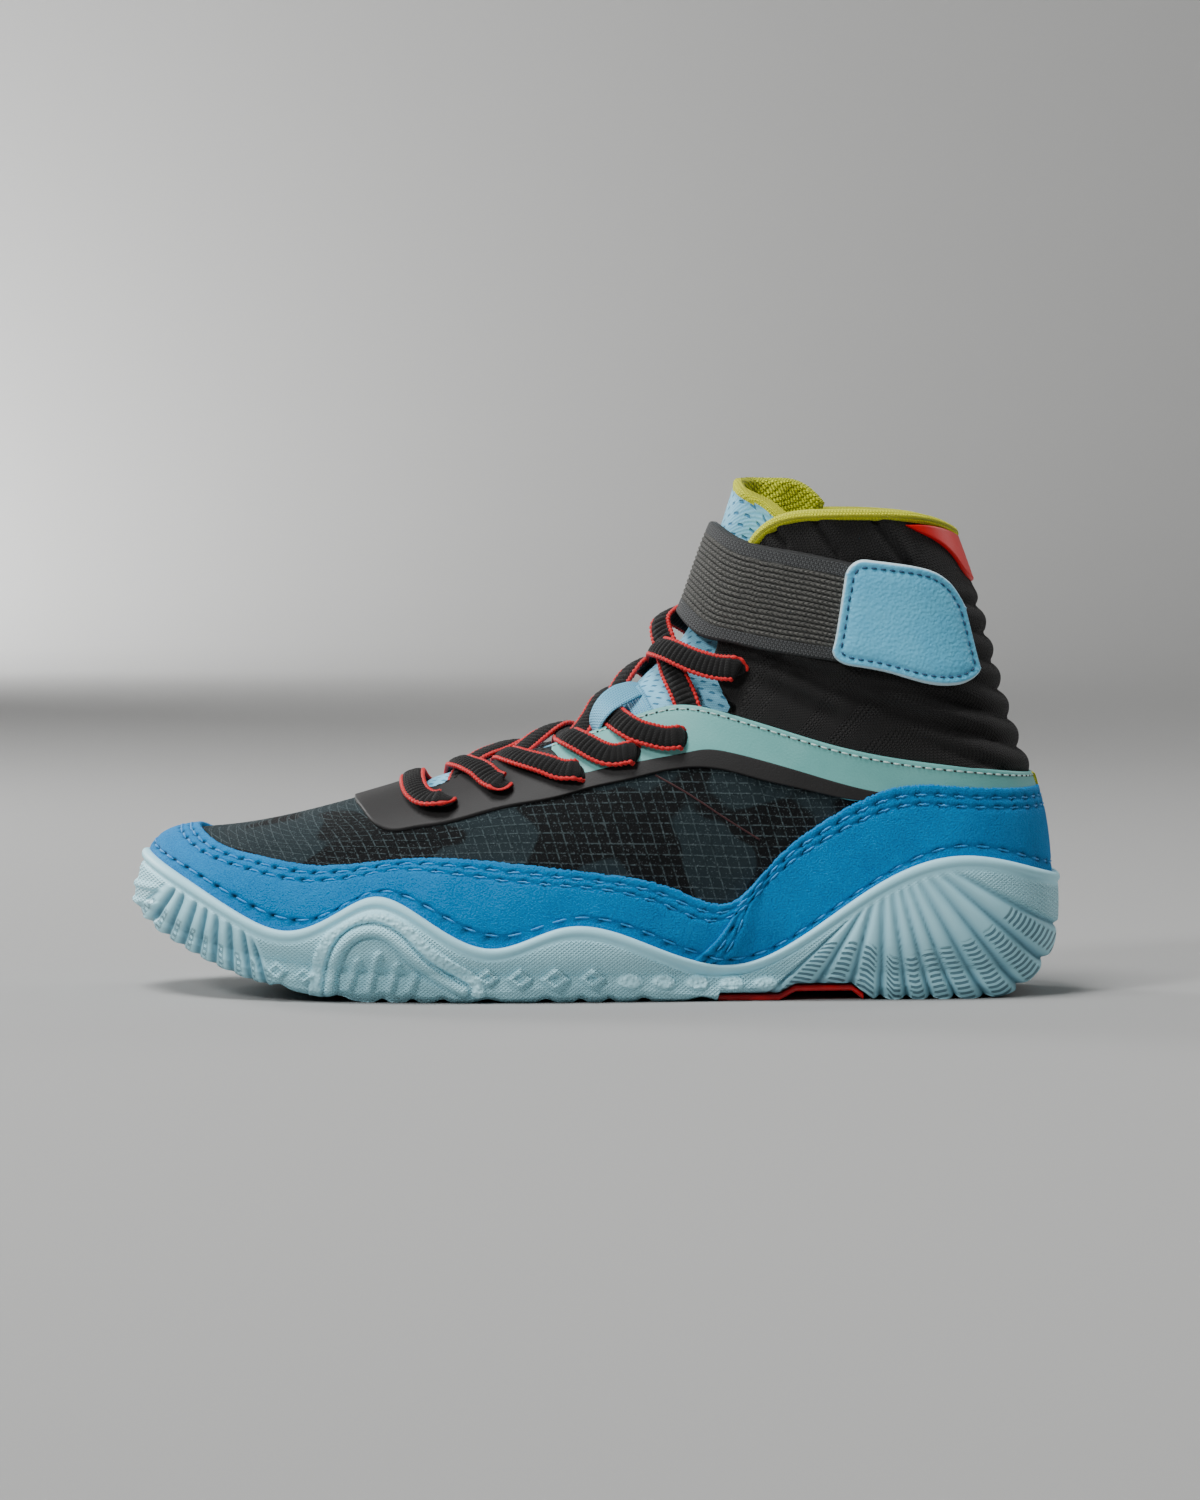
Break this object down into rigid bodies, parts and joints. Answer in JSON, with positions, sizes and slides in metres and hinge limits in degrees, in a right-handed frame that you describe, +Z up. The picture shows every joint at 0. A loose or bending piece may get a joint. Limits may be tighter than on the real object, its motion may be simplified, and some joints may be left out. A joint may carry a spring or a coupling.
{
  "type": "high-top sneaker",
  "caption": "Left high-top wrestling-style sneaker: hollow mesh and knit upper, suede bands, ribbed rubber cup sole, padded tongue, flat lace and an elastic ankle strap with a leather tab.",
  "frame": {"origin": "middle of the bounding box, on the floor under the sole", "axes": "+X from toe to heel, -Y towards the outer side of the foot, +Z up from the floor"},
  "size_m": [0.2916, 0.1003, 0.1621],
  "materials": {
    "sole_rubber": "matte moulded",
    "arch_plastic": "satin",
    "insole_foam": "cloth-topped foam",
    "upper_cloth": "mesh and knit",
    "blue_suede": "napped suede",
    "tongue_cloth": "knit",
    "strap_elastic": "ribbed elastic",
    "tab_leather": "pebbled, satin",
    "lace_cord": "flat woven, red edges",
    "keeper_web": "woven webbing"
  },
  "bodies": {
    "root": {"outsole": "sole_rubber", "arch_plate": "arch_plastic", "insole": "insole_foam", "upper": "upper_cloth", "toe_rand": "blue_suede", "heel_counter": "blue_suede", "tongue": "tongue_cloth", "ankle_strap": "strap_elastic", "strap_tab": "tab_leather", "lace_bar": "lace_cord", "lace_cross_1": "lace_cord", "lace_cross_2": "lace_cord", "lace_cross_3": "lace_cord", "lace_cross_4": "lace_cord", "lace_cross_5": "lace_cord", "lace_keeper": "keeper_web"}
  },
  "joints": []
}
